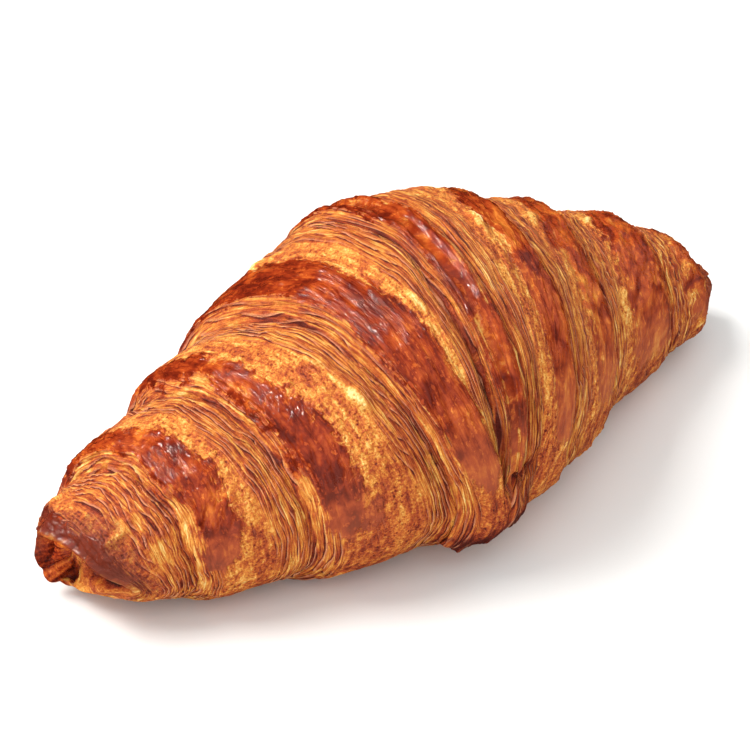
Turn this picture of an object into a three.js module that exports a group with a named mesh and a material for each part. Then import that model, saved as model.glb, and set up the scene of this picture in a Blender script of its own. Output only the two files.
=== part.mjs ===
// A croissant: a long triangle of laminated dough, rolled from its wide end to its
// point and baked as one piece. It lies on its flat underside, with its length along
// X, the point of the roll tucked under its front (-Y), and +Z up. Millimetres.

import * as THREE from 'three';

// Driving dimensions.
const HALF_LENGTH = 85.5;
const FIRST_RING = -81;            // where the skin starts and ends along the crest
const LAST_RING = 84;
const HEIGHT_TO_WIDTH = 0.78;
const LOWER_SHARE = 0.46;          // part of the height below the widest line
const BASE_TRIM = 0.9;             // depth of dough pressed flat where it rests

// How far each end rises off the table, and how late it starts to rise.
const LEFT_LIFT = { height: 8.2, power: 4 };
const RIGHT_LIFT = { height: 9, power: 6 };

// Half the width at stations along the length, from the left end (-1) to the right (1).
const HALF_WIDTHS = [
  [-1, 7.6], [-0.94, 10.9], [-0.88, 13.8], [-0.81, 17], [-0.61, 23.5], [-0.42, 29.7],
  [-0.23, 34.5], [-0.03, 38.3], [0.16, 35.8], [0.35, 30.3], [0.54, 24.4], [0.74, 18.2],
  [0.83, 14.2], [0.895, 9.8], [0.925, 7.5], [0.96, 4.4], [1, 0.9],
];

// The bend of the middle line seen from above, at the same stations.
const MIDDLE_LINE = [
  [-1, -2.5], [-0.6, -5.8], [-0.2, -7.5], [0.15, -4.9], [0.35, -2], [0.55, 0.6],
  [0.72, 0.5], [0.85, -1.9], [1, -4],
];

// The wraps of the roll from the left end to the right. Along the crest, each goes from
// its free edge, a step down towards the nearer end, to the next edge in. The drop is the
// part of the step's height that the wrap loses again on the way.
const WRAPS = [
  { edge: -82, inner: -70, step: 1.2, drop: 0.9 },
  { edge: -70, inner: -51, step: 2.3, drop: 1 },
  { edge: -51, inner: -31, step: 2.7, drop: 1 },
  { edge: -31, inner: -7.7, step: 2.6, drop: 0.8 },
  { edge: -7.7, inner: -2.1, step: 1, drop: 0 },
  { edge: 3.4, inner: -2.1, step: 1, drop: 0 },
  { edge: 24.5, inner: 3.4, step: 1.5, drop: 0.9 },
  { edge: 44.5, inner: 24.5, step: 1.6, drop: 1 },
  { edge: 65, inner: 44.5, step: 1.5, drop: 1 },
  { edge: 78, inner: 65, step: 1.2, drop: 1 },
];
const STEP_RISE = 3.4;             // width over which a free edge reaches its height
const SHOULDER_END = 0.3;          // part of a wrap's width where it starts to drop

// How much of a step shows at each angle: 0 at the front, 90 on the crest, 180 behind.
const STEP_FADE = [
  [-90, 0.1], [-30, 0.5], [30, 0.8], [90, 1], [130, 1], [190, 0.8], [230, 0.4], [270, 0.1],
];

// The wraps are wound on a slant: a quarter turn down the front shifts a winding line by
// this much along X, at places along the crest, and one down the back shifts it back.
const FRONT_SLANTS = [
  [-85.5, 6], [-70, 3.5], [-51, 5.5], [-31, 12], [-14, 2.6], [-8, -1.6], [3.5, -6.8],
  [24.5, -12], [44.5, -12], [65, -5], [85.5, 0],
];
const BACK_SLANTS = [
  [-85.5, 1.65], [-79, 3.85], [-70, 8.8], [-51, 7.15], [-31, 13.2], [-14, 5.5], [-8, 3.3], [3.5, -3.3],
  [24.5, -13.2], [44.5, -13.2], [65, -5.5], [85.5, 0],
];

// The open end on the left: its far side hangs down, and its top stands out like a hood.
const SAG = { down: 4, start: -64, end: -80 };
const HOOD = { out: 5.5, down: 1.4, start: -70, end: -81 };

// The rolled end on the left bulges: rings of it, by size and by how far they stand out.
const END_RINGS = [
  { size: 0.85, out: 1.4 },
  { size: 0.5, out: 2 },
];

// The point of the triangle, a small flap low on the front.
const FLAP = { x: -11, angle: -20, halfWidth: 8, halfTurn: 14, height: 2.6 };

const ROWS = 84;
const COLUMNS = 40;

const DEGREES = Math.PI / 180;
const { lerp, smoothstep } = THREE.MathUtils;

// Cubic interpolation through a list of [place, value] pairs, flat past both ends.
function along(knots, place) {
  const last = knots.length - 1;
  if (place <= knots[0][0]) return knots[0][1];
  if (place >= knots[last][0]) return knots[last][1];
  const i = knots.findIndex(([start], k) => k < last && place < knots[k + 1][0] && place >= start);
  const slope = (a, b) => (knots[b][1] - knots[a][1]) / (knots[b][0] - knots[a][0]);
  const width = knots[i + 1][0] - knots[i][0];
  const t = (place - knots[i][0]) / width;
  const slopeIn = i > 0 ? slope(i - 1, i + 1) : slope(i, i + 1);
  const slopeOut = i + 1 < last ? slope(i, i + 2) : slope(i, i + 1);
  const start = knots[i][1] * (1 + 2 * t) * (1 - t) ** 2 + slopeIn * width * t * (1 - t) ** 2;
  const end = knots[i + 1][1] * t * t * (3 - 2 * t) - slopeOut * width * t * t * (1 - t);
  return start + end;
}

// Height of the stepped surface over the smooth loaf at a place along the crest.
function stepRelief(crest) {
  const wrap = WRAPS.find(({ edge, inner }) => (crest - edge) * (crest - inner) <= 0);
  if (!wrap) return 0;
  const distance = Math.abs(crest - wrap.edge);
  const part = distance / Math.abs(wrap.inner - wrap.edge);
  const drop = wrap.drop * smoothstep(part, SHOULDER_END, 1);
  return wrap.step * smoothstep(distance, 0, STEP_RISE) * (1 - drop);
}

// How far round its slant a winding line is at an angle: 0 on the crest, 1 at the front
// (0 degrees), negative behind, and back to its start under the base.
function slantShare(angle) {
  if (angle >= -10 && angle <= 190) return (90 - angle) / 90;
  const under = (angle > 190 ? angle - 190 : angle + 170) / 160;
  return lerp(-10 / 9, 10 / 9, smoothstep(under, 0, 1));
}

// A point of the surface, from a place along the crest and an angle round the loaf.
function surfacePoint(crest, angle) {
  const share = slantShare(angle);
  const x = crest + along(share > 0 ? FRONT_SLANTS : BACK_SLANTS, crest) * share;
  const cosine = Math.cos(angle * DEGREES);
  const sine = Math.sin(angle * DEGREES);
  const station = x / HALF_LENGTH;
  const halfWidth = along(HALF_WIDTHS, station);
  const height = 2 * halfWidth * HEIGHT_TO_WIDTH;
  const end = station < 0 ? LEFT_LIFT : RIGHT_LIFT;
  const lift = end.height * Math.abs(station) ** end.power;
  const farSide = smoothstep(0.5 - 0.5 * cosine, 0.2, 0.85);
  const below = Math.max(-sine, 0) ** 0.6;
  const sag = farSide * below * smoothstep(-crest, -SAG.start, -SAG.end);
  const onTop = smoothstep(sine, -0.5, 0.6) * smoothstep(cosine, -0.75, -0.1);
  const hood = onTop * smoothstep(-crest, -HOOD.start, -HOOD.end);
  const upper = sine >= 0;
  const out = Math.sign(cosine) * Math.abs(cosine) ** (upper ? 1 : 0.75);
  const up = upper ? (1 - LOWER_SHARE) * sine : -LOWER_SHARE * Math.abs(sine) ** 0.8;
  const flapAcross = (x - FLAP.x) / FLAP.halfWidth;
  const flapDown = (angle - FLAP.angle) / FLAP.halfTurn;
  const flap = FLAP.height * Math.exp(-(flapAcross ** 2) - flapDown ** 2);
  const relief = stepRelief(crest) * along(STEP_FADE, angle) + flap;
  const raised = lift + height * (LOWER_SHARE + up) + relief * sine;
  const z = raised - sag * SAG.down - hood * HOOD.down;
  return new THREE.Vector3(
    x - hood * HOOD.out,
    along(MIDDLE_LINE, station) - out * halfWidth - relief * cosine,
    Math.max(z, BASE_TRIM),
  );
}

// One ring of points round the loaf.
function ring(crest) {
  return Array.from({ length: COLUMNS }, (_, k) => surfacePoint(crest, -90 + 360 * k / COLUMNS));
}

function middle(points) {
  const sum = points.reduce((total, point) => total.add(point), new THREE.Vector3());
  return sum.divideScalar(points.length);
}

// The closed skin: the bulging end, rings along the crest, and a fan of faces at each end.
function loafGeometry() {
  const first = ring(FIRST_RING);
  const centre = middle(first);
  const bulge = END_RINGS.map(({ size, out }) => first.map((point) => {
    const moved = point.clone().lerp(centre, 1 - size);
    return moved.setX(moved.x - out);
  }));
  const rings = bulge.reverse();
  for (let row = 0; row <= ROWS; row += 1) {
    rings.push(ring(lerp(FIRST_RING, LAST_RING, row / ROWS)));
  }
  const points = rings.flat();
  const caps = [rings[0], rings[rings.length - 1]].map((edge) => points.push(middle(edge)) - 1);

  const faces = [];
  const lastRing = (rings.length - 1) * COLUMNS;
  for (let column = 0; column < COLUMNS; column += 1) {
    const next = (column + 1) % COLUMNS;
    for (let start = 0; start < lastRing; start += COLUMNS) {
      const a = start + column;
      const b = start + next;
      faces.push(a, a + COLUMNS, b, b, a + COLUMNS, b + COLUMNS);
    }
    faces.push(caps[0], column, next);
    faces.push(caps[1], lastRing + next, lastRing + column);
  }

  const geometry = new THREE.BufferGeometry().setFromPoints(points);
  geometry.setIndex(faces);
  geometry.computeBoundingBox();
  const { min, max } = geometry.boundingBox;
  geometry.translate(-(min.x + max.x) / 2, -(min.y + max.y) / 2, -min.z);
  geometry.computeVertexNormals();
  return geometry;
}

const crust = new THREE.MeshStandardMaterial({ color: 0xb5652a, roughness: 0.45, metalness: 0 });

const croissant = new THREE.Mesh(loafGeometry(), crust);
croissant.name = 'croissant';

const part = new THREE.Group();
part.add(croissant);

export default part;
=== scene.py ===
# %% [markdown]
# # A croissant
#
# A croissant is one long triangle of laminated dough: thin leaves of dough with butter
# between them. It is rolled up from its wide end, so the wraps lie over each other like
# steps that go down from the middle to both tips, and it is baked as one piece. So the
# model is one skin too. It is grown by a Geometry Nodes tree from a flat grid, because its
# whole shape follows rules: a spindle, the wraps wound round it, and the leaves that show
# at each wrap's free edge. Lengths in the formulas are millimetres and angles are degrees
# round the loaf: 0 at the front, 90 on the crest, 180 behind.

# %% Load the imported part
import math

import bpy
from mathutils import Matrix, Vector


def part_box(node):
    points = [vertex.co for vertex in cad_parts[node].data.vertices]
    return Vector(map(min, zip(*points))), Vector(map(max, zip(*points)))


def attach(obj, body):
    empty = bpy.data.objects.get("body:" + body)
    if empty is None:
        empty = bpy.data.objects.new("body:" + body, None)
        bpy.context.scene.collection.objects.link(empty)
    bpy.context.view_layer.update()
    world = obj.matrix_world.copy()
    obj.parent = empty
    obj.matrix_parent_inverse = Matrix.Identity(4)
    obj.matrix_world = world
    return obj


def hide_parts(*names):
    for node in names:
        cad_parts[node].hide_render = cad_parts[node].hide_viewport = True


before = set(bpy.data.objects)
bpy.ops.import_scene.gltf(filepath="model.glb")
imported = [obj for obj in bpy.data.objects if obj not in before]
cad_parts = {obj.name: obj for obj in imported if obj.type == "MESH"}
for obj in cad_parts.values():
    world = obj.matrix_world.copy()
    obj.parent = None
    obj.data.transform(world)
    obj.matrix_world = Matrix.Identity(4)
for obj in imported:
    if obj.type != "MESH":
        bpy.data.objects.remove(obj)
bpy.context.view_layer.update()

MM = 0.001
low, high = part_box("croissant")
print("the loaf is", [round((b - a) / MM, 1) for a, b in zip(low, high)], "mm")

# %% [markdown]
# ## The camera
#
# A long lens from the front left, a good third of the way up, is how food like this is
# usually pictured: the wraps show their steps and the far tip stays in sight. The camera
# is set first, so that every later step can be judged through it.

# %% Camera
AZIMUTH = math.radians(37.5)
ELEVATION = math.radians(36)
DISTANCE = 600 * MM
FOCAL_LENGTH = 140.2
SENSOR_WIDTH = 36
AIM = Vector((-6.5, 5.1, 22.5)) * MM

towards_camera = Vector((
    -math.sin(AZIMUTH) * math.cos(ELEVATION),
    -math.cos(AZIMUTH) * math.cos(ELEVATION),
    math.sin(ELEVATION),
))
lens_data = bpy.data.cameras.new("camera")
lens_data.lens = FOCAL_LENGTH
lens_data.sensor_width = SENSOR_WIDTH
lens_data.clip_start = 0.01
camera = bpy.data.objects.new("camera", lens_data)
camera.location = AIM + towards_camera * DISTANCE
camera.rotation_euler = (-towards_camera).to_track_quat("-Z", "Y").to_euler()
bpy.context.collection.objects.link(camera)
bpy.context.scene.camera = camera
bpy.context.scene.view_settings.view_transform = "Standard"
print("camera at", [round(c / MM) for c in camera.location], "mm")

# %% [markdown]
# ## Formulas as nodes
#
# Geometry Nodes and shaders both count with Math nodes, and a tree of them is hard to read
# in code. These two small classes let a formula be written as a formula: a Field is one
# output of a node, and adding or multiplying fields adds the nodes that do it. The same
# classes serve the shape and the material.

# %% Field and Graph
class Field:
    """One output socket of a node, which arithmetic turns into Math nodes."""

    def __init__(self, graph, socket):
        self.graph = graph
        self.socket = socket

    def __add__(self, other):
        return self.graph.math("ADD", self, other)

    def __radd__(self, other):
        return self.graph.math("ADD", other, self)

    def __sub__(self, other):
        return self.graph.math("SUBTRACT", self, other)

    def __rsub__(self, other):
        return self.graph.math("SUBTRACT", other, self)

    def __mul__(self, other):
        return self.graph.math("MULTIPLY", self, other)

    def __rmul__(self, other):
        return self.graph.math("MULTIPLY", other, self)

    def __truediv__(self, other):
        return self.graph.math("DIVIDE", self, other)

    def __pow__(self, other):
        return self.graph.math("POWER", self, other)

    def __neg__(self):
        return self.graph.math("MULTIPLY", self, -1)

    def __abs__(self):
        return self.graph.math("ABSOLUTE", self)

    def least(self, other):
        return self.graph.math("MINIMUM", self, other)

    def most(self, other):
        return self.graph.math("MAXIMUM", self, other)

    def over(self, limit):
        """1 where the field is above the limit, else 0."""
        return self.graph.math("GREATER_THAN", self, limit)

    def clamped(self):
        return self.least(1).most(0)

    def fraction(self):
        return self.graph.math("FRACT", self)

    def rise(self, start, end):
        """A smooth step from 0 at the start to 1 at the end."""
        return self.graph.remap(self, start, end, 0, 1, "SMOOTHSTEP")

    def slope(self, start, end, first=0, last=1):
        """A straight line between two places, flat past both."""
        return self.graph.remap(self, start, end, first, last, "LINEAR")

    def mix(self, first, last):
        """The first value where this field is 0, the last where it is 1."""
        return self * (last - first) + first

    def bump(self, centre, half_width):
        """A bell of height 1 round a place."""
        away = (self - centre) / half_width
        return self.graph.math("EXPONENT", -(away * away))


class Graph:
    """Adds nodes to a node tree and wires them to each other."""

    def __init__(self, tree):
        self.tree = tree

    def node(self, kind, inputs=(), **settings):
        node = self.tree.nodes.new(kind)
        for name, value in settings.items():
            setattr(node, name, value)
        for key, value in dict(inputs).items():
            self.feed(node.inputs[key], value)
        return node

    def feed(self, socket, value):
        if isinstance(value, Field):
            self.tree.links.new(value.socket, socket)
        else:
            socket.default_value = value

    def join(self, output, socket):
        self.tree.links.new(output, socket)

    def math(self, operation, *values):
        node = self.node("ShaderNodeMath", operation=operation)
        for socket, value in zip(node.inputs, values):
            self.feed(socket, value)
        return Field(self, node.outputs[0])

    def sin(self, degrees):
        return self.math("SINE", degrees * (math.pi / 180))

    def cos(self, degrees):
        return self.math("COSINE", degrees * (math.pi / 180))

    def remap(self, value, start, end, first, last, style):
        node = self.node("ShaderNodeMapRange", interpolation_type=style)
        for socket, number in zip(node.inputs, (value, start, end, first, last)):
            self.feed(socket, number)
        return Field(self, node.outputs[0])

    def line(self, value, knots):
        """A smooth line through a few (place, height) pairs, flat past both ends."""
        places = [place for place, _ in knots]
        heights = [height for _, height in knots]
        span = places[-1] - places[0]
        drop = min(heights)
        size = max(heights) - drop
        node = self.node("ShaderNodeFloatCurve")
        curve = node.mapping.curves[0]
        for _ in knots[2:]:
            curve.points.new(0.5, 0.5)
        for point, (place, height) in zip(curve.points, knots):
            point.location = ((place - places[0]) / span, (height - drop) / size)
            point.handle_type = "AUTO_CLAMPED"
        node.mapping.update()
        self.feed(node.inputs["Value"], (value - places[0]) / span)
        return Field(self, node.outputs[0]) * size + drop

    def vector(self, x, y, z):
        node = self.node("ShaderNodeCombineXYZ", {"X": x, "Y": y, "Z": z})
        return Field(self, node.outputs[0])

    def split(self, vector):
        node = self.node("ShaderNodeSeparateXYZ", {0: vector})
        return [Field(self, output) for output in node.outputs]

    def noise(self, place, detail=2, rough=0.5, twist=0):
        """Smooth noise from about -0.5 to 0.5, with features one unit of place wide."""
        node = self.node("ShaderNodeTexNoise", {
            "Vector": place, "Scale": 1, "Detail": detail, "Roughness": rough,
            "Distortion": twist,
        })
        return Field(self, node.outputs[0]) - 0.5

    def spaced(self, place, size, shift=0):
        """A place for noise with features this many millimetres wide."""
        node = self.node(
            "ShaderNodeVectorMath",
            {0: place, 1: (1 / (size * MM),) * 3, 2: (shift,) * 3},
            operation="MULTIPLY_ADD",
        )
        return Field(self, node.outputs[0])

    def ring(self, wind, pitch, turns, shift=0):
        """A place for noise: drawn out round the loaf, and closed where it comes round."""
        crest, cos, sin = wind
        along = crest / pitch
        return self.vector(along + shift, cos * turns + along * 0.37, sin * turns - along * 0.61)

    def cells(self, place, smooth=0.4):
        """Distance to the nearest point of a scattered set, one unit of place apart."""
        node = self.node(
            "ShaderNodeTexVoronoi",
            {"Vector": place, "Scale": 1, "Smoothness": smooth},
            feature="SMOOTH_F1",
        )
        return Field(self, node.outputs["Distance"])


# %% [markdown]
# ## The lines of the loaf
#
# The loaf is a spindle a little over twice as long as wide. Its widths, the bend of its
# middle line seen from above and the slant of the winding are short lists of knots. They
# are the same numbers as the solid model's, so the skin fills the same box.

# %% Spindle
HALF_LENGTH = 85.5
FIRST_RING = -81                    # where the skin starts and ends along the crest
LAST_RING = 84
HEIGHT_TO_WIDTH = 0.78
BASE_X = -0.9                       # the middle of the base in the formulas' own place
BASE_Y = -6.9
LOWER_SHARE = 0.46                  # part of the height below the widest line
LIFT_LEFT = 8.2                     # how far the open end rises off the table
LIFT_RIGHT = 9
LIFT_POWERS = (4, 6)                # how late the left and the right end start to rise
SAG = 4                             # how far the open end's far side hangs down
HOOD = 5.5                          # how far the top of the open end stands out over it
HOOD_DROP = 0.25                    # how far the hood hangs, as a part of how far it stands out
SCROLL_FACE = -80.5                 # where the face of the open end lies
SCROLL_LIP = 2.3                    # how far the rim rounds over into that face
SCROLL_DEPTH = 3                    # how deep the face lies between its folds
TIP_ROUND = 0.2                     # how far the closed tip rounds over
BASE_TRIM = 0.9                     # dough pressed flat where it rests

HALF_WIDTHS = [
    (-1, 7.6), (-0.94, 10.9), (-0.88, 13.8), (-0.81, 17), (-0.61, 23.5), (-0.42, 29.7),
    (-0.23, 34.5), (-0.03, 38.3), (0.16, 35.8), (0.35, 30.3), (0.54, 24.4), (0.74, 18.2),
    (0.83, 14.2), (0.895, 9.8), (0.925, 7.5), (0.96, 4.4), (1, 0.9),
]
MIDDLE_LINE = [
    (-1, -2.5), (-0.6, -5.8), (-0.2, -7.5), (0.15, -4.9), (0.35, -2), (0.55, 0.6),
    (0.72, 0.5), (0.85, -1.9), (1, -4),
]

# A quarter turn down the front shifts a winding line this much along X; the back shifts
# the other way. Both sides of the loaf wind towards the point at its front.
SLANT_FRONT = [
    (-85.5, 6), (-70, 3.5), (-51, 5.5), (-31, 12), (-14, 2.6), (-8, -1.6), (3.5, -6.8),
    (24.5, -12), (44.5, -12), (65, -5), (85.5, 0),
]
SLANT_BACK = [
    (-85.5, 1.65), (-79, 3.85), (-70, 8.8), (-51, 7.15), (-31, 13.2), (-14, 5.5), (-8, 3.3),
    (3.5, -3.3), (24.5, -13.2), (44.5, -13.2), (65, -5.5), (85.5, 0),
]

# %% [markdown]
# ## The wraps
#
# Each wrap's free edge is a step. The crust just inside the edge stood proud in the oven,
# so it took the egg wash and browned: a dark glossy band. The rest of a wrap came out from
# under its neighbour as the dough swelled, so it is unwashed, golden and blistered. Where
# the band starts and ends is given as a part of the wrap's width, from its free edge.

# %% Wraps from the left tip to the right
WRAPS = [
    # free edge, inner edge, step, drop, band start, band end, how brown the band is
    (-82, -70, 1.2, 0.9, -0.2, 0.3, 0.7),
    (-70, -51, 2.3, 1.0, 0.10, 0.44, 0.95),
    (-51, -31, 2.7, 1.0, 0.08, 0.38, 0.85),
    (-31, -7.7, 2.6, 0.8, 0.12, 0.53, 1.0),
    (-7.7, -2.1, 1.0, 0.0, 0.25, 1.5, 0.6),
    (3.4, -2.1, 1.0, 0.0, 0.0, 1.5, 0.6),
    (24.5, 3.4, 1.5, 0.9, 0.0, 0.46, 0.8),
    (44.5, 24.5, 1.6, 1.0, 0.0, 0.54, 0.75),
    (65, 44.5, 1.5, 1.0, 0.0, 0.60, 0.8),
    (78, 65, 1.2, 1.0, 0.0, 0.66, 0.6),
]
print(len(WRAPS), "stretches of crust between the steps")

# %% Sizes of the mesh
ROWS = 640                          # along the loaf
COLUMNS = 148                       # round it
LEFT_CAP = 0.07                     # part of the rows that fold into the open end
RIGHT_CAP = 0.02                    # part of the rows that round over the closed tip
TOP_DENSITY = 0.3                   # how much closer the columns are on top than below


# %% [markdown]
# ## From grid to spindle
#
# The tree starts with a flat grid. One side of the grid runs along the loaf and the other
# goes round it, and both are stored on the points, because the later steps move the points
# and still need to know where each one belongs. The angle is kept as its cosine and sine,
# which are the same on both sides of the seam under the loaf.

# %% Places on the grid
def crest_knots():
    """Rows lie closer together where leaves of dough show beside a left-hand step."""
    weights = []
    steps = [wrap[0] for wrap in WRAPS if wrap[0] < wrap[1]]
    places = [FIRST_RING + n for n in range(LAST_RING - FIRST_RING + 1)]
    for place in places:
        close = any(-7 < place - step < 5 for step in steps)
        weights.append(1.5 if close else 0.85)
    total = sum(weights[:-1])
    knots = []
    count = 0
    for place, weight in zip(places, weights):
        knots.append((count / total, place))
        count += weight
    return knots[::4] + [(1, places[-1])]


def store(graph, geometry, name, value, kind="FLOAT_VECTOR", domain="POINT"):
    node = graph.node(
        "GeometryNodeStoreNamedAttribute", data_type=kind, domain=domain)
    node.inputs["Name"].default_value = name
    graph.join(geometry, node.inputs["Geometry"])
    graph.feed(node.inputs["Value"], value)
    return node.outputs["Geometry"]


def stored(graph, name, kind="FLOAT_VECTOR"):
    node = graph.node("GeometryNodeInputNamedAttribute", data_type=kind)
    node.inputs["Name"].default_value = name
    return Field(graph, node.outputs["Attribute"])


def grid_with_places(graph, rows, columns):
    """The flat grid, with each point's row and its place along and round the loaf."""
    grid = graph.node("GeometryNodeMeshGrid", {
        "Size X": 1.0, "Size Y": 1.0, "Vertices X": rows, "Vertices Y": columns,
    })
    place = graph.node("GeometryNodeInputPosition")
    along, around, _ = graph.split(Field(graph, place.outputs[0]))
    row = along + 0.5
    turn = around + graph.sin(around * 360) * (-TOP_DENSITY / (2 * math.pi))
    angle = turn * 360 + 90
    body = ((row - LEFT_CAP) / (1 - LEFT_CAP - RIGHT_CAP)).clamped()
    crest = graph.line(body, crest_knots())
    wind = graph.vector(crest, graph.cos(angle), graph.sin(angle))
    geometry = store(graph, grid.outputs["Mesh"], "wind", wind)
    geometry = store(graph, geometry, "row", row, "FLOAT")
    unwrapped = Field(graph, grid.outputs["UV Map"])
    return store(graph, geometry, "OFBake", unwrapped, "FLOAT2", "CORNER")


class Place:
    """Fields that say where a point lies on the loaf, read back from the grid."""

    def __init__(self, graph):
        self.graph = graph
        self.crest, self.cos, self.sin = graph.split(stored(graph, "wind"))
        self.row = stored(graph, "row", "FLOAT")
        turned = graph.math("ARCTAN2", self.sin, self.cos) * (180 / math.pi)
        self.angle = turned + (turned * -1).over(90) * 360
        # the same angle, but counted from the front: negative below, so it has no jump there
        self.front = self.angle.over(200).mix(self.angle, self.angle - 360)
        self.open_end = ((LEFT_CAP - self.row) / LEFT_CAP).clamped()
        self.point_end = ((self.row - 1 + RIGHT_CAP) / RIGHT_CAP).clamped()

    def ring(self, pitch, turns, shift=0):
        """A place for noise that follows the wraps."""
        return self.graph.ring((self.crest, self.cos, self.sin), pitch, turns, shift)


# %% [markdown]
# ## Steps
#
# For a point of the crust we need its wrap, how far it is from that wrap's free edge and
# what part of the wrap that is. Each wrap adds its numbers where the point lies between
# its two edges and zero elsewhere, so plain sums pick the right wrap.

# %% Which wrap a point is on
class Wrap:
    """Fields of the wrap under each point."""

    def __init__(self, place):
        self.number = self.part = self.distance = self.width = 0
        self.step = self.drop = self.band_start = self.band_end = 0
        self.brown = self.outward = 0
        for number, wrap in enumerate(WRAPS):
            edge, inner, step, drop, band_start, band_end, brown = wrap
            left, right = sorted((edge, inner))
            width = right - left
            side = 1 if inner > edge else -1
            here = place.crest.over(left) * (1 - place.crest.over(right))
            away = (place.crest - edge) * side
            self.number += here * (number + 1)
            self.distance += here * away
            self.width += here * width
            self.part += here * (away / width)
            self.step += here * step
            self.drop += here * drop
            self.band_start += here * band_start
            self.band_end += here * band_end
            self.brown += here * brown
            self.outward += here * -side


# %% [markdown]
# ## The smooth loaf with its steps
#
# The section is an oval with a flatter underside. A point's height over the smooth loaf
# rises quickly from a wrap's free edge to its shoulder and sinks slowly towards the next
# edge in. The steps are tall on the crest and the back and fade out underneath, where the
# tray pressed them flat.

# %% Base shape
WANDERS = [
    # how far along the loaf, how many turns round it, where in the noise, millimetres
    (30, 0.8, 0, 3.5),
    (9, 2.2, 4, 1.2),
    (2.5, 9, 7, 0.35),
]
STEP_FADE = [
    # angle, share of the step's height that is left there
    (-90, 0.1), (-30, 0.5), (30, 0.8), (90, 1), (130, 1), (190, 0.8), (230, 0.4), (270, 0.1),
]


def slant_share(place):
    """0 on the crest, 1 at the front, negative behind, and back again underneath."""
    angle = place.angle
    front = (90 - angle) / 90
    under_from_back = (angle - 190) / 160
    under_from_front = (angle + 170) / 160
    under = angle.over(190).mix(under_from_front, under_from_back).clamped()
    eased = under * under * (3 - 2 * under)
    highest = 10 / 9
    below = eased * (2 * highest) - highest
    is_below = angle.over(190) + (1 - angle.over(-10))
    return is_below.mix(front, below)


def loaf_surface(graph, place, wrap, sizes):
    """Position in millimetres of each point of the stepped loaf."""
    share = slant_share(place)
    wander = 0
    for pitch, turns, shift, size in WANDERS:
        wander = wander + graph.noise(place.ring(pitch, turns, shift), 1) * size
    calm_ends = place.crest.slope(-80, -70) * place.crest.slope(74, 66)
    x = place.crest + wander * calm_ends
    x = x + graph.line(place.crest, SLANT_FRONT) * share.most(0)
    x = x + graph.line(place.crest, SLANT_BACK) * share.least(0)
    station = x / HALF_LENGTH
    half_width = graph.line(station, HALF_WIDTHS)
    height = half_width * 2 * HEIGHT_TO_WIDTH
    lift_left = abs(station) ** LIFT_POWERS[0] * LIFT_LEFT
    lift_right = abs(station) ** LIFT_POWERS[1] * LIFT_RIGHT
    lift = lift_left + (lift_right - lift_left) * station.over(0)
    middle_y = graph.line(station, MIDDLE_LINE)

    upper = place.sin.over(0)
    out_low = abs(place.cos) ** 0.75 * graph.math("SIGN", place.cos)
    out = upper.mix(out_low, place.cos)
    down = abs(place.sin) ** 0.8 * -LOWER_SHARE
    up = upper.mix(down, place.sin * (1 - LOWER_SHARE))

    shoulder_up = wrap.distance.rise(0, sizes["step_rise"])
    shoulder_down = 1 - wrap.drop * wrap.part.rise(0.3, 1)
    fade = graph.line(place.angle, STEP_FADE)
    relief = wrap.step * shoulder_up * shoulder_down * fade
    crease = wrap.distance.bump(0.2, 0.5) + (wrap.width - wrap.distance).bump(0.2, 0.5)
    relief = relief - crease * sizes["crease"] * fade * wrap.number.least(1)
    lean = wrap.distance.bump(4.5, 2.5) * wrap.outward * sizes["lean"] * fade

    shrink_left = 1 - place.open_end
    shrink_right = graph.math("SQRT", 1 - place.point_end * place.point_end)
    shrink = shrink_left * shrink_right
    radius = half_width * shrink
    y = middle_y - out * radius - relief * place.cos * shrink
    z = lift + height * LOWER_SHARE + up * height * shrink + relief * place.sin * shrink
    far_side = (0.5 - place.cos * 0.5).rise(0.2, 0.85)
    hanging = (place.sin * -1).most(0) ** 0.6 * far_side * place.crest.rise(-64, -80)
    z = z - hanging * shrink_left * SAG
    tip = place.point_end * -TIP_ROUND
    turned_in = 1 - (place.open_end / 0.2).clamped()
    lip = graph.math("SQRT", 1 - turned_in * turned_in) * -SCROLL_LIP
    overhang = place.sin.rise(-0.5, 0.6) * place.cos.rise(-0.75, -0.1)
    overhang = overhang * place.crest.rise(-70, -81) * HOOD
    x = x - overhang
    z = z - overhang * HOOD_DROP * shrink_left
    pulled_in = place.open_end.rise(0.06, 0.3) * (SCROLL_FACE - x) + lip
    return x + lean + tip + pulled_in, y, z


# %% [markdown]
# ## Details of the crust
#
# Three reliefs go on top, each pushed out along the surface's normal. Leaves of dough show
# as fine parallel ridges beside every free edge. Gas and butter left blisters and wrinkles
# everywhere else. And the tips, the tucked point and a small tear are shaped one by one.

# %% Fine relief
LARGE_BLISTERS = [
    # place along the crest, angle, half its width across the wrap, half its turn round it
    (-54, 63, 2.6, 8),
    (-54.5, 47, 2.2, 7),
    (-55, 30, 1.8, 6),
    (-35.5, 72, 2.4, 6),
    (-36, 50, 2.0, 7),
    (-14, 66, 1.8, 5),
    (13, 84, 1.6, 5),
]


def leaf_zone(wrap):
    """1 where cut leaves of dough show: up the step and on the crust just outside it."""
    up_the_step = 1 - wrap.distance.rise(2.5, 5)
    below_it = 1 - (wrap.width - wrap.distance).rise(3, 8)
    return up_the_step.most(below_it) * wrap.number.least(1)


def leaf_phase(graph, place, wrap, sizes):
    """Counts the leaves of dough inwards from each free edge: a whole number is a lip."""
    drift = graph.noise(place.ring(8, 1.5), 1) * 5 + graph.noise(place.ring(3, 2), 1) * 0.4
    return place.crest * wrap.outward * -1 / sizes["leaf_pitch"] + drift


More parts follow.
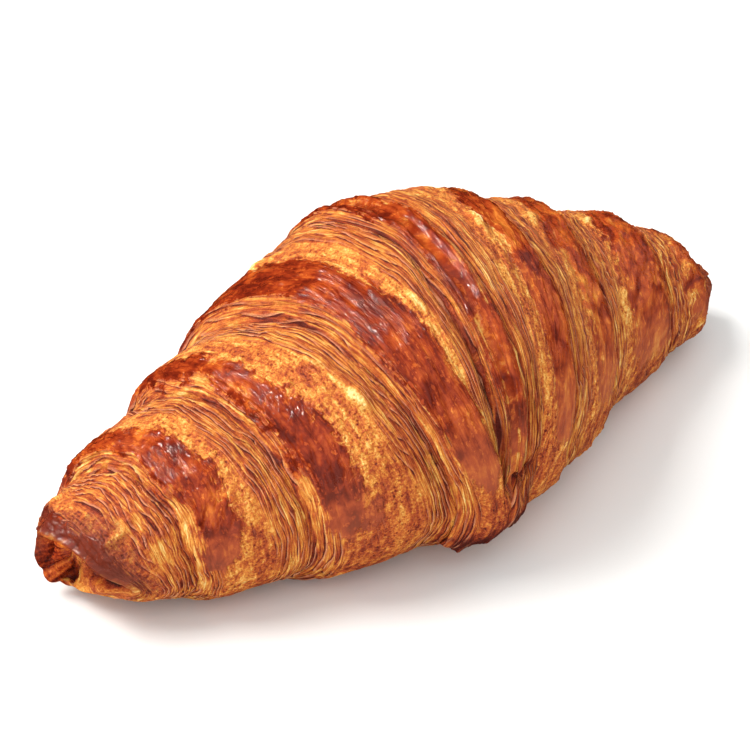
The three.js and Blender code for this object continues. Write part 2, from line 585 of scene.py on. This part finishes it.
def blistered(graph, place):
    """1 on top of each blister, 0 between them: scattered ones, and the few largest."""
    cell = graph.cells(place.ring(7, 6, 2))
    here = graph.noise(place.ring(12, 3, 5), 1).rise(-0.02, 0.1)
    level = (1 - cell.rise(0.1, 0.5)) * here
    for crest, angle, across, round_it in LARGE_BLISTERS:
        shape = ((place.crest - crest) / across) ** 2 + ((place.angle - angle) / round_it) ** 2
        level = level + 1.3 * (1 - shape.rise(0.2, 1))
    return level


def fine_relief(graph, place, wrap, sizes):
    """Height in millimetres of the leaves, blisters and lumps over the stepped loaf."""
    position = Field(graph, graph.node("GeometryNodeInputPosition").outputs[0])
    leaves = (1 - leaf_phase(graph, place, wrap, sizes).fraction()) - 0.5
    broken = graph.noise(place.ring(4, 2.6, 9), 2, 0.5).rise(-0.12, 0.12) * 0.8 + 0.3
    leaves = leaves * broken * leaf_zone(wrap)

    quiet_below = place.sin.slope(-0.8, 0.1, 0.25, 1)
    glazed = wash_level(place, wrap).rise(0.3, 0.8)
    lumps = graph.noise(graph.spaced(position, 16), 2) * 1.6
    blisters = blistered(graph, place) * (1 - glazed * 0.6) * (1 - leaf_zone(wrap) * 0.6)
    grit = graph.noise(graph.spaced(position, 2.4, 2), 3, 0.6, 0.6) * 0.7 * (1 - glazed * 0.4)
    wrinkles = graph.noise(place.ring(2.6, 7, 8), 3, 0.6, 0.6) * 2 * glazed
    wrinkles = wrinkles * place.sin.rise(0, 0.6)
    streak = graph.noise(place.ring(2.2, 3, 2), 3, 0.55) * 0.9
    relief = leaves * sizes["leaf_depth"] + lumps + streak
    relief = relief + (blisters * sizes["blister"] + grit + wrinkles) * quiet_below
    skin = 1 - place.open_end.rise(0, 0.08)
    return relief * skin * (1 - place.point_end)


# %% [markdown]
# ## The special places
#
# The point of the triangle is tucked under the front of the loaf and stands out as a small
# flap with a dark lower edge, which is painted shade. Just above it the crust has torn, and
# a deep fold runs up from there beside the middle wrap. All three hang together, so one
# function makes them, and it also says how dark they are: the flap browner, and painted
# shade on its lower edge, in the tear and in the fold.

# %% Flap, tear and fold
FLAP_MIDDLE = -11                   # along X; the flap is the tucked point of the triangle
FLAP_HALF_WIDTH = 10
FLAP_THICK = 2.6
TEAR_MIDDLE = -4.5                  # along X
TEAR_DEPTH = 2.2
FOLD_CREST = -8.6                   # along the crest, beside the middle wrap
FOLD_DEPTH = 1.6


def special_places(graph, place):
    """Height in millimetres of the flap, the tear and the fold, and how dark they are: a browner
    flap, and painted shade on its lower edge, in the tear and in the fold.
    """
    position = graph.node("GeometryNodeInputPosition")
    x = graph.split(Field(graph, position.outputs[0]))[0] / MM
    front = place.front
    ragged = graph.noise(place.ring(3, 9, 4), 2, 0.6)
    across = 1 - (abs(x - FLAP_MIDDLE) / FLAP_HALF_WIDTH + ragged * 0.5).rise(0.7, 1.05)
    edge = front + ragged * 9
    down = front.rise(-4, -22) * (1 - edge.rise(-32, -36))
    flap = across * down * (FLAP_THICK + ragged * 1.5)
    tear_line = front + 6 - (x + 5) * 0.6 + ragged * 5
    tear = x.bump(TEAR_MIDDLE, 4) * tear_line.bump(0, 1.6)
    fold = (place.crest + ragged).bump(FOLD_CREST, 1.1)
    fold = fold * front.rise(-6, 8) * (1 - front.rise(62, 85))
    # the flap is browner; its lower edge, the tear and the fold are darkened as painted shade
    burnt_and_shaded = across * down * 0.45 + across * edge.bump(-29, 5) * 1.6 + tear * 1.4 + fold * 0.8
    return flap - tear * TEAR_DEPTH - fold * FOLD_DEPTH, burnt_and_shaded


# %% [markdown]
# The left tip is an open scroll: the end of the roll, where the leaves turn in on
# themselves like folded fingers. The fingers are half-round ridges that lie side by side
# across the far half of its face. A rough column and a raised corner stand beside them, and
# the highest of these wins. A hole and the line under the hood are then sunk into the face.

# %% Open scroll
FINGERS = [
    # middle across the end, half its width, how thick
    (-0.84, 0.19, 3.6),
    (-0.42, 0.25, 4.2),
]


def finger_height(graph, across, up):
    """Height in millimetres of the folded leaves that fill the far half of the scroll."""
    height = across * 0
    for middle, half_width, thick in FINGERS:
        away = (across - middle - up * 0.22) / half_width
        height = height + graph.math("SQRT", (1 - away * away).most(0)) * thick
    return height


def scroll_depth(graph, place):
    """How far the open end is pushed in, in millimetres along X."""
    reach = 1 - place.open_end
    spot = graph.vector(place.cos * reach * 1.6, place.sin * reach * 1.6, 3)
    wobble = graph.noise(spot, 2) * 0.3
    across = place.cos * reach + wobble
    up = place.sin * reach + wobble * 0.5
    inside = place.open_end.rise(0.03, 0.16)
    fingers = finger_height(graph, across, up) * (1 - reach ** 5)
    crumb = graph.noise(graph.vector(across * 8, up * 4, 0), 3, 0.7) * 3
    column = across.bump(0.08, 0.34) * (1.8 + crumb)
    hole = across.bump(0.14, 0.13) * up.bump(-0.45, 0.24) * 3.4
    corner = ((across - 0.6) / 0.3) ** 2 + ((up + 0.5) / 0.34) ** 2
    corner = (1 - corner.rise(0.5, 1)) * (2.8 + crumb * 0.3)
    under_hood = reach.bump(0.74, 0.12) * place.sin.rise(0, 0.6) * 1.6
    filled = fingers.most(column).most(corner)
    return (SCROLL_DEPTH - filled + hole + under_hood) * inside


def folds_round_end(graph, place):
    """Height in millimetres of the folded leaves where they reach the side of the loaf."""
    folded = finger_height(graph, place.cos, place.sin) - 2.6
    return folded * 0.4 * place.crest.rise(-76, -80) * (1 - place.sin.rise(-0.1, 0.3))


# %% [markdown]
# ## Marks for the material
#
# The crust's colours follow the wraps, so the tree also stores smooth levels for them on
# the points: how deep inside the egg-washed band a point lies, how strongly leaves show,
# where blisters stand, and how dark a point is. That darkness comes from burnt places and
# from painted shade in creases, under free edges and deep in the scroll, less a painted
# highlight on each lip. The material sharpens them with fine noise, so their borders look
# torn and not drawn.

# %% Marks
WASH_BORDER = 4.0                   # how wide the band's border is


def wash_level(place, wrap):
    """Over 0.5 inside the egg-washed band, falling off over a few millimetres."""
    widen = place.front.bump(45, 35) * 0.08
    entering = (wrap.part - wrap.band_start) * wrap.width / WASH_BORDER
    leaving = (wrap.band_end + widen - wrap.part) * wrap.width / WASH_BORDER
    level = entering.least(leaving) + 0.5
    lower = place.front.rise(-12, 8)
    return (level * wrap.number.least(1)).most(-1).least(2) * lower * wrap.brown


def darkness(graph, place, wrap, burnt_and_shaded, pushed_in):
    """How much darker than its crust a point is: burnt places, and painted shade in creases,
    under free edges and deep in the scroll, less a painted highlight on each lip.
    """
    # painted shadow along both sides of each step, where one wrap lies over the next, and a
    # painted highlight on the lip just inside each free edge
    shadow = wrap.distance.bump(0, 0.5) + (wrap.width - wrap.distance).bump(0, 0.5) * wrap.drop
    torn = graph.noise(place.ring(2, 7, 6), 2).rise(-0.1, 0.1)
    pale_lip = wrap.distance.bump(0.9, 0.45) * torn * wrap.drop
    dark = burnt_and_shaded + (shadow * 0.6 - pale_lip * 0.7) * wrap.number.least(1)
    # painted shade deep inside the scroll, darker the further its face is pushed in
    return dark + pushed_in.rise(0.8, 3.6) * 0.8


# %% [markdown]
# ## The tree
#
# The steps are now put in order: the grid with its places, the stepped loaf, the closing of
# the seam, the fine relief along the normals, the base pressed flat, and the marks. The
# sizes of the steps, leaves and blisters are the tree's inputs.

# %% The tree
SEAM_GAP = 1e-6                     # metres; points closer than this become one


def build_tree():
    tree = bpy.data.node_groups.new("rolled_dough", "GeometryNodeTree")
    graph = Graph(tree)
    tree.interface.new_socket("Geometry", in_out="INPUT", socket_type="NodeSocketGeometry")
    entry = graph.node("NodeGroupInput")
    sizes = {}
    choices = [
        ("Rows", "rows", ROWS, "NodeSocketInt"),
        ("Columns", "columns", COLUMNS, "NodeSocketInt"),
        ("Step Rise", "step_rise", 3.4, "NodeSocketFloat"),
        ("Crease Depth", "crease", 0.9, "NodeSocketFloat"),
        ("Lean", "lean", 1.1, "NodeSocketFloat"),
        ("Leaf Pitch", "leaf_pitch", 0.9, "NodeSocketFloat"),
        ("Leaf Depth", "leaf_depth", 0.55, "NodeSocketFloat"),
        ("Blister Height", "blister", 1.0, "NodeSocketFloat"),
    ]
    tree.interface.new_socket("Crust", in_out="INPUT", socket_type="NodeSocketMaterial")
    for title, key, value, kind in choices:
        socket = tree.interface.new_socket(title, in_out="INPUT", socket_type=kind)
        socket.default_value = value
        sizes[key] = Field(graph, entry.outputs[title])
    tree.interface.new_socket("Geometry", in_out="OUTPUT", socket_type="NodeSocketGeometry")

    geometry = grid_with_places(graph, sizes["rows"], sizes["columns"])
    place = Place(graph)
    wrap = Wrap(place)

    x, y, z = loaf_surface(graph, place, wrap, sizes)
    pushed_in = scroll_depth(graph, place)
    x = x + pushed_in
    shaped = graph.node("GeometryNodeSetPosition", {
        "Position": graph.vector(x * MM, y * MM, z * MM)})
    graph.join(geometry, shaped.inputs["Geometry"])
    closed = graph.node("GeometryNodeMergeByDistance", {"Distance": SEAM_GAP})
    graph.join(shaped.outputs[0], closed.inputs["Geometry"])

    special, burnt_and_shaded = special_places(graph, place)
    special = special + folds_round_end(graph, place) * place.cos.slope(0.1, -0.2)
    height = fine_relief(graph, place, wrap, sizes) + special
    normal = graph.node("GeometryNodeInputNormal")
    push = graph.node("ShaderNodeVectorMath", operation="SCALE")
    graph.join(normal.outputs[0], push.inputs[0])
    graph.feed(push.inputs["Scale"], height * MM)
    detailed = graph.node("GeometryNodeSetPosition")
    graph.join(closed.outputs[0], detailed.inputs["Geometry"])
    graph.join(push.outputs[0], detailed.inputs["Offset"])

    position = graph.node("GeometryNodeInputPosition")
    px, py, pz = graph.split(Field(graph, position.outputs[0]))
    rested = graph.node("GeometryNodeSetPosition", {
        "Position": graph.vector(px, py, pz.most(BASE_TRIM * MM))})
    graph.join(detailed.outputs[0], rested.inputs["Geometry"])

    marks = graph.vector(wash_level(place, wrap), leaf_zone(wrap), blistered(graph, place))
    geometry = store(graph, rested.outputs[0], "marks", marks)
    dark = darkness(graph, place, wrap, burnt_and_shaded, pushed_in)
    ends = graph.vector(place.open_end, place.point_end, dark)
    geometry = store(graph, geometry, "ends", ends)
    geometry = store(graph, geometry, "leaf", leaf_phase(graph, place, wrap, sizes), "FLOAT")
    smooth = graph.node("GeometryNodeSetShadeSmooth")
    graph.join(geometry, smooth.inputs["Geometry"])
    realised = graph.node("GeometryNodeRealizeInstances")
    graph.join(smooth.outputs[0], realised.inputs["Geometry"])
    crusted = graph.node("GeometryNodeSetMaterial")
    graph.join(realised.outputs[0], crusted.inputs["Geometry"])
    graph.join(entry.outputs["Crust"], crusted.inputs["Material"])
    leave = graph.node("NodeGroupOutput")
    graph.join(crusted.outputs[0], leave.inputs["Geometry"])
    return tree


# %% [markdown]
# ## The crust's material
#
# Baked dough has no paint: its own colours are how far each spot browned. Golden leaves
# with pale and orange speckles, a red-brown glaze where the egg wash lay. Light and shade
# are painted in too: painted shadow in the cracks between the leaves, painted highlights
# on their lips. The glaze is smooth and shines, and the bare crust is dull and gritty.

# %% Colours
def srgb(red, green, blue):
    """A colour as seen, 0 to 255, in the linear values that a shader mixes."""
    def linear(value):
        value = value / 255
        return value / 12.92 if value <= 0.04045 else ((value + 0.055) / 1.055) ** 2.4
    return (linear(red), linear(green), linear(blue), 1)


BROWNING = [
    (0.0, srgb(255, 222, 150)),
    (0.16, srgb(246, 188, 98)),
    (0.32, srgb(226, 144, 56)),
    (0.48, srgb(202, 102, 38)),
    (0.62, srgb(172, 70, 28)),
    (0.76, srgb(136, 44, 18)),
    (0.9, srgb(96, 26, 12)),
    (1.0, srgb(58, 20, 14)),
]
# a painted highlight: pink on the lips of the leaves
LIP_HIGHLIGHT_PINK = srgb(222, 146, 108)
# painted shade with floor bounce, for the glaze low on the front
LOW_SHADE_ROSE = srgb(166, 82, 50)
HOOD_PURPLE = srgb(122, 56, 40)


# %% Shader helpers
def blend(graph, share, first, last):
    """Mixes two colours; a colour is a Field or four numbers."""
    node = graph.node("ShaderNodeMix", data_type="RGBA")
    graph.feed(node.inputs["Factor"], share)
    graph.feed(node.inputs[6], first)
    graph.feed(node.inputs[7], last)
    return Field(graph, node.outputs[2])


def browned(graph, level):
    """The crust's colour by how far it browned: 0 is raw and pale, 1 is burnt."""
    node = graph.node("ShaderNodeValToRGB", {"Fac": level})
    elements = node.color_ramp.elements
    for _ in BROWNING[2:]:
        elements.new(0.5)
    for element, (place, colour) in zip(elements, BROWNING):
        element.position = place
        element.color = colour
    return Field(graph, node.outputs["Color"])


def attribute(graph, name, output="Vector"):
    node = graph.node("ShaderNodeAttribute", attribute_name=name)
    return Field(graph, node.outputs[output])


# %% [markdown]
# All colours and bumps are mixed from ten textures. Some lie anywhere in the dough, such as
# its fine grain and broad patches. Others are drawn out round the loaf, as the dough was
# when it was rolled: threads, streaks and wrinkles along the wraps.

# %% Textures
class Texture:
    """Noise over the crust, each from about -0.5 to 0.5 unless it says otherwise."""

    def __init__(self, graph, spot, wind):
        self.fine = graph.noise(graph.spaced(spot, 0.5), 2, 0.6, 0.5)
        self.grain = graph.noise(graph.spaced(spot, 1.5, 3), 3, 0.6, 0.5)
        self.patch = graph.noise(graph.spaced(spot, 5, 7), 3, 0.55, 0.6)
        self.broad = graph.noise(graph.spaced(spot, 16, 7), 2, 0.5)
        self.thread = graph.noise(graph.ring(wind, 0.3, 3.4, 8), 2, 0.6, 0.3)
        self.streak = graph.noise(graph.ring(wind, 0.9, 4), 3, 0.6, 0.4)
        self.wide_streak = graph.noise(graph.ring(wind, 3.2, 3, 5), 3, 0.55, 0.5)
        self.wrinkle = graph.noise(graph.ring(wind, 1.5, 8, 3), 2, 0.6, 0.8)
        # 0 in the middle of a small pillow of crust, up to about 1 between pillows
        self.pillows = graph.cells(graph.ring(wind, 1.6, 14, 4), 0.35)
        # 1 in a pore, 0 between them
        self.pores = 1 - graph.cells(graph.spaced(spot, 1.1, 4), 0.1).rise(0.05, 0.35)


# %% [markdown]
# The marks that the tree stored say where each finish lies. Adding noise before their
# borders are sharpened tears the borders, as egg wash and flaking leaves do.

# %% Zones
class Zone:
    """A spot's place on the crust, and how much each finish holds there, mostly 0 to 1."""

    def __init__(self, graph, wind, texture):
        self.crest, self.cos, self.sin = wind
        wash, leaf, self.blister = graph.split(attribute(graph, "marks"))
        self.open_end, point_end, self.dark = graph.split(attribute(graph, "ends"))
        grain, streak, wide_streak = texture.grain, texture.streak, texture.wide_streak

        ragged = wash + streak * 0.6 + grain * 0.9 + wide_streak * 1.5 + texture.patch * 0.7
        self.washed = ragged.rise(0.38, 0.72)
        self.leafy = (leaf + wide_streak * 1.6 + grain * 0.3).rise(0.1, 0.7)
        tooth = attribute(graph, "leaf", "Fac").fraction()
        # the edge of each leaf gets a painted highlight, and the crack below the next leaf gets
        # painted shadow
        self.lip = 1 - tooth.rise(0.02, 0.35)
        self.gap = tooth.rise(0.76, 0.98)
        self.strong = (wide_streak + streak * 0.8).rise(-0.16, 0.1)

        # the lower front, which lies in shade: painted shade darkens the bare crust there, and
        # the glaze gets a rose tint of painted shade and floor bounce
        self.shaded_low_front = (1 - self.sin.rise(-0.1, 0.55)) * self.cos.rise(-0.3, 0.3)
        self.at_point = point_end.clamped().most(self.crest.rise(75, 78))
        self.scroll = self.open_end.rise(0.0, 0.06)
        self.across = self.cos * (1 - self.open_end)
        self.far_folds = self.across.rise(-0.1, -0.3)
        near_hood = self.crest + grain * 6 + streak * 4 - self.cos.rise(-0.2, 0.5) * 2.5
        outside = 1 - self.open_end.rise(0.1, 0.2)
        self.hood = near_hood.rise(-77.5, -80) * self.sin.rise(-0.5, 0.1) * outside


# %% [markdown]
# How far each spot browned is one number, with painted shade and highlights added to it,
# and one colour ramp turns it into a colour. The golden crust, the leaves and the glaze each
# have their own level and their own play in it. Three thin tints follow: a pink painted
# highlight on the lips of the leaves, rose painted shade with floor bounce low on the glaze,
# and a purple hood.

# %% Colour of the crust
def browning_level(zone, texture):
    """How far the outside of the loaf browned, with painted shade and highlights added: 0 is raw
    and pale, 1 is burnt.
    """
    grain, streak, wide_streak = texture.grain, texture.streak, texture.wide_streak
    # painted shade in the small hollows: darker between the pillows and in the pores, and darker
    # on the shaded lower front
    golden = 0.38 + (texture.pillows - 0.33) * 0.3 + streak * 0.6 + wide_streak * 0.6
    golden = golden + grain * 0.4 + texture.fine * 0.8 + texture.patch * 0.25
    golden = golden + texture.pores * 0.22 - zone.blister * 0.26 + zone.shaded_low_front * 0.08
    leafy = 0.52 + streak * 1.1 + texture.thread * 1.4 + wide_streak * 0.5 + grain * 0.35
    # painted shadow in the cracks between the leaves, painted highlight on their lips
    leafy = leafy + (zone.gap * 0.4 - zone.lip * 0.16) * zone.strong
    glazed = 0.75 + texture.patch * 0.75 + texture.broad * 0.4 + wide_streak * 0.5
    glazed = glazed + streak * 0.45 + texture.wrinkle * 0.5 + grain * 0.3
    glazed = glazed - (grain + streak).rise(0.1, 0.22) * 0.24
    # lighter glaze low on the front: painted floor bounce in the shade there
    glazed = glazed - zone.shaded_low_front * 0.11 - zone.crest.rise(0, 25) * 0.09
    level = golden + (leafy - golden) * zone.leafy
    # the stored darkness adds the burnt places, the painted shade and the painted lip highlights
    level = level + (glazed - level) * zone.washed + zone.dark * 0.3
    level = level + zone.crest.rise(-77.5, -80.5) * 0.04
    level = level + zone.hood * (0.2 + texture.thread * 0.8)
    level = level + (0.66 + streak * 0.8 + texture.thread * 0.7 - level) * zone.at_point
    return level.least(0.9)


def scroll_level(zone, texture):
    """How far the face of the open end browned, with painted shade where it lies deep."""
    level = 0.64 + texture.grain * 0.6 + texture.fine * 0.6 + texture.patch * 0.4
    level = level + zone.dark * 0.5 + zone.far_folds * 0.24
    return level - zone.across.bump(0.1, 0.3) * 0.14


def crust_colour(graph, zone, texture):
    """The browned outside and scroll with their tints: a painted highlight on the leaves' lips,
    rose painted shade with floor bounce low on the glaze, and the purple hood.
    """
    colour = browned(graph, browning_level(zone, texture))
    # a pink painted highlight on the lips of the leaves
    lip_highlight = zone.lip * zone.strong * zone.leafy * (1 - zone.washed)
    lip_highlight = lip_highlight * texture.streak.rise(-0.12, 0.08)
    colour = blend(graph, lip_highlight * 0.85, colour, LIP_HIGHLIGHT_PINK)
    # painted shade and floor bounce: the glaze turns rose low on the front
    colour = blend(graph, zone.shaded_low_front * zone.washed * 0.5, colour, LOW_SHADE_ROSE)
    colour = blend(graph, zone.scroll, colour, browned(graph, scroll_level(zone, texture)))
    return blend(graph, zone.hood * 0.5, colour, HOOD_PURPLE)


# %% [markdown]
# Egg wash dries to a thin varnish. It shines where it pooled on top of the wraps and on the
# folded leaves in the scroll, and it fills the pores. Bare crust is dull, and its bump is
# deep: pores, pillows, and the threads of the leaves.

# %% Gloss and bump of the crust
BUMP_DEPTH = 0.62                   # millimetres
GLAZE_IOR = 1.4
SPECULAR = 0.34


def crust_gloss(zone):
    """1 where the glaze is smooth, 0 on bare crust."""
    on_top = zone.washed * zone.sin.rise(0.1, 0.7) * zone.crest.rise(40, 0).mix(0.6, 1)
    return on_top.most(zone.scroll * zone.far_folds * 0.8)


def bump_height(zone, texture, shiny):
    """Height of the finest relief, as a part of the bump's depth."""
    bare = 1 - zone.washed
    leafed = zone.leafy * bare
    height = texture.thread * 0.9 * leafed + texture.streak * leafed.mix(0.4, 1.0)
    height = height + texture.wrinkle * shiny * 0.8
    height = height - (texture.pores * 0.4 + texture.pillows * 0.8) * bare * (1 - zone.leafy)
    height = height * (1 - zone.scroll) + texture.fine * zone.washed.mix(0.8, 0.06)
    return height + texture.grain * zone.washed.mix(1.1, 0.1)


# %% Crust
TEXTURE_TURN = (0.6, 0.5, 0.4)      # radians, so that no texture lines up with the loaf


def crust_material():
    material = bpy.data.materials.new("crust")
    material.use_nodes = True
    material.node_tree.nodes.clear()
    graph = Graph(material.node_tree)
    turned = graph.node(
        "ShaderNodeVectorRotate", {"Rotation": TEXTURE_TURN}, rotation_type="EULER_XYZ")
    graph.join(graph.node("ShaderNodeTexCoord").outputs["Object"], turned.inputs["Vector"])
    wind = graph.split(attribute(graph, "wind"))
    texture = Texture(graph, Field(graph, turned.outputs[0]), wind)
    zone = Zone(graph, wind, texture)

    shiny = crust_gloss(zone)
    rough = shiny.mix(0.6, 0.07) + (texture.fine + texture.grain) * shiny.mix(0.3, 0.06)
    bump = graph.node("ShaderNodeBump", {
        "Strength": 1.0, "Distance": BUMP_DEPTH * MM,
        "Height": bump_height(zone, texture, shiny),
    })
    shader = graph.node("ShaderNodeBsdfPrincipled", {
        "Base Color": crust_colour(graph, zone, texture), "Roughness": rough,
        "IOR": GLAZE_IOR, "Specular IOR Level": SPECULAR,
    })
    graph.join(bump.outputs[0], shader.inputs["Normal"])
    output = graph.node("ShaderNodeOutputMaterial")
    graph.join(shader.outputs[0], output.inputs["Surface"])
    return material


crust = crust_material()
print("crust material:", len(crust.node_tree.nodes), "nodes")


# %% [markdown]
# ## Growing the loaf
#
# The tree runs once on an empty mesh. Its result becomes a plain mesh, the modifier goes,
# and the mesh is set down on the middle of the solid model's base.

# %% Grow and set down
def grown(name, tree, inputs):
    """The tree's result as a plain mesh object."""
    seed_mesh = bpy.data.meshes.new(name + "_seed")
    holder = bpy.data.objects.new(name + "_seed", seed_mesh)
    bpy.context.collection.objects.link(holder)
    modifier = holder.modifiers.new(tree.name, "NODES")
    modifier.node_group = tree
    for item in tree.interface.items_tree:
        if item.item_type == "SOCKET" and item.in_out == "INPUT" and item.name in inputs:
            modifier[item.identifier] = inputs[item.name]
    graph = bpy.context.evaluated_depsgraph_get()
    mesh = bpy.data.meshes.new_from_object(holder.evaluated_get(graph))
    mesh.name = name
    holder.modifiers.remove(modifier)
    bpy.data.objects.remove(holder)
    piece = bpy.data.objects.new(name, mesh)
    bpy.context.collection.objects.link(piece)
    return piece


def corners(mesh):
    spots = [vertex.co for vertex in mesh.vertices]
    least = Vector(min(spot[axis] for spot in spots) for axis in range(3))
    most = Vector(max(spot[axis] for spot in spots) for axis in range(3))
    return least, most


loaf = grown("croissant_crust", build_tree(), {"Crust": crust})
base = Vector(((low[0] + high[0]) / 2, (low[1] + high[1]) / 2, low[2]))
own_base = Vector((BASE_X, BASE_Y, BASE_TRIM)) * MM
for vertex in loaf.data.vertices:
    vertex.co += base - own_base
least, most = corners(loaf.data)
print("moved by", [round(c / MM, 2) for c in base - own_base], "mm")
print("skin from", [round(c / MM, 2) for c in least], "to", [round(c / MM, 2) for c in most])
print("skin:", len(loaf.data.vertices), "points,", [round(c / MM, 1) for c in most - least], "mm")

# %% [markdown]
# ## Floor and light
#
# The loaf lies on a plain white floor. The key lamp behind its left end throws the soft
# shadow to the right, and two weaker but larger ones fill it. A smooth glaze would mirror
# the floor, the sky and the key lamp as a milky veil, so those three are kept out of its
# reflections, and two very small lamps that only show in gloss make the sparks on it.

# %% Floor
FLOOR_REACH = 3.0
FLOOR_WHITE = (0.9, 0.9, 0.9, 1)

floor_mesh = bpy.data.meshes.new("floor")
floor_mesh.from_pydata(
    [(x * FLOOR_REACH, y * FLOOR_REACH, 0) for x, y in [(-1, -1), (1, -1), (1, 1), (-1, 1)]],
    [], [(0, 1, 2, 3)])
floor = bpy.data.objects.new("floor", floor_mesh)
bpy.context.collection.objects.link(floor)
white = bpy.data.materials.new("floor")
white.use_nodes = True
paint = white.node_tree.nodes["Principled BSDF"]
paint.inputs["Base Color"].default_value = FLOOR_WHITE
paint.inputs["Roughness"].default_value = 0.7
floor_mesh.materials.append(white)
floor.visible_glossy = False
print("floor:", 2 * FLOOR_REACH, "m square")


# %% Lamps and world
LAMP_AIM = Vector((0, 0, 0.02))     # metres, as the lamps' places and sizes are
GLINT_COLOUR = (1, 0.92, 0.82)
GLINTS = {"back_glints": (-0.5, 0.62, 0.9), "front_glints": (-0.45, 0.12, 1)}
SKY_COLOUR = (0.96, 1, 0.97, 1)
SKY_STRENGTH = 0.54


def area_light(name, place, size, power, colour=(1, 1, 1)):
    """A square lamp that faces the loaf."""
    data = bpy.data.lights.new(name, "AREA")
    data.size = size
    data.energy = power
    data.color = colour
    lamp = bpy.data.objects.new(name, data)
    lamp.location = place
    facing = LAMP_AIM - lamp.location
    lamp.rotation_euler = facing.to_track_quat("-Z", "Y").to_euler()
    bpy.context.collection.objects.link(lamp)
    return lamp


key = area_light("key", (-0.5, 0.55, 0.95), 0.8, 18, (1, 0.98, 0.95))
key.visible_glossy = False
for name, place in GLINTS.items():
    glints = area_light(name, place, 0.1, 10, GLINT_COLOUR)
    glints.visible_diffuse = False
area_light("front", (-0.9, -0.8, 0.9), 2.2, 14)
area_light("side", (0.9, -0.2, 0.9), 1.5, 5)
world = bpy.data.worlds.new("studio")
world.use_nodes = True
sky = world.node_tree.nodes["Background"]
sky.inputs["Color"].default_value = SKY_COLOUR
sky.inputs["Strength"].default_value = SKY_STRENGTH
world.cycles_visibility.glossy = False
bpy.context.scene.world = world
print("lamps:", len(bpy.data.lights))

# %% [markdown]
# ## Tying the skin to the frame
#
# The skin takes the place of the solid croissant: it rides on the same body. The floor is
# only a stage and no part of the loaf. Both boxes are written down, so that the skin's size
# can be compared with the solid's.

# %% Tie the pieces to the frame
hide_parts("croissant")
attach(loaf, "root")
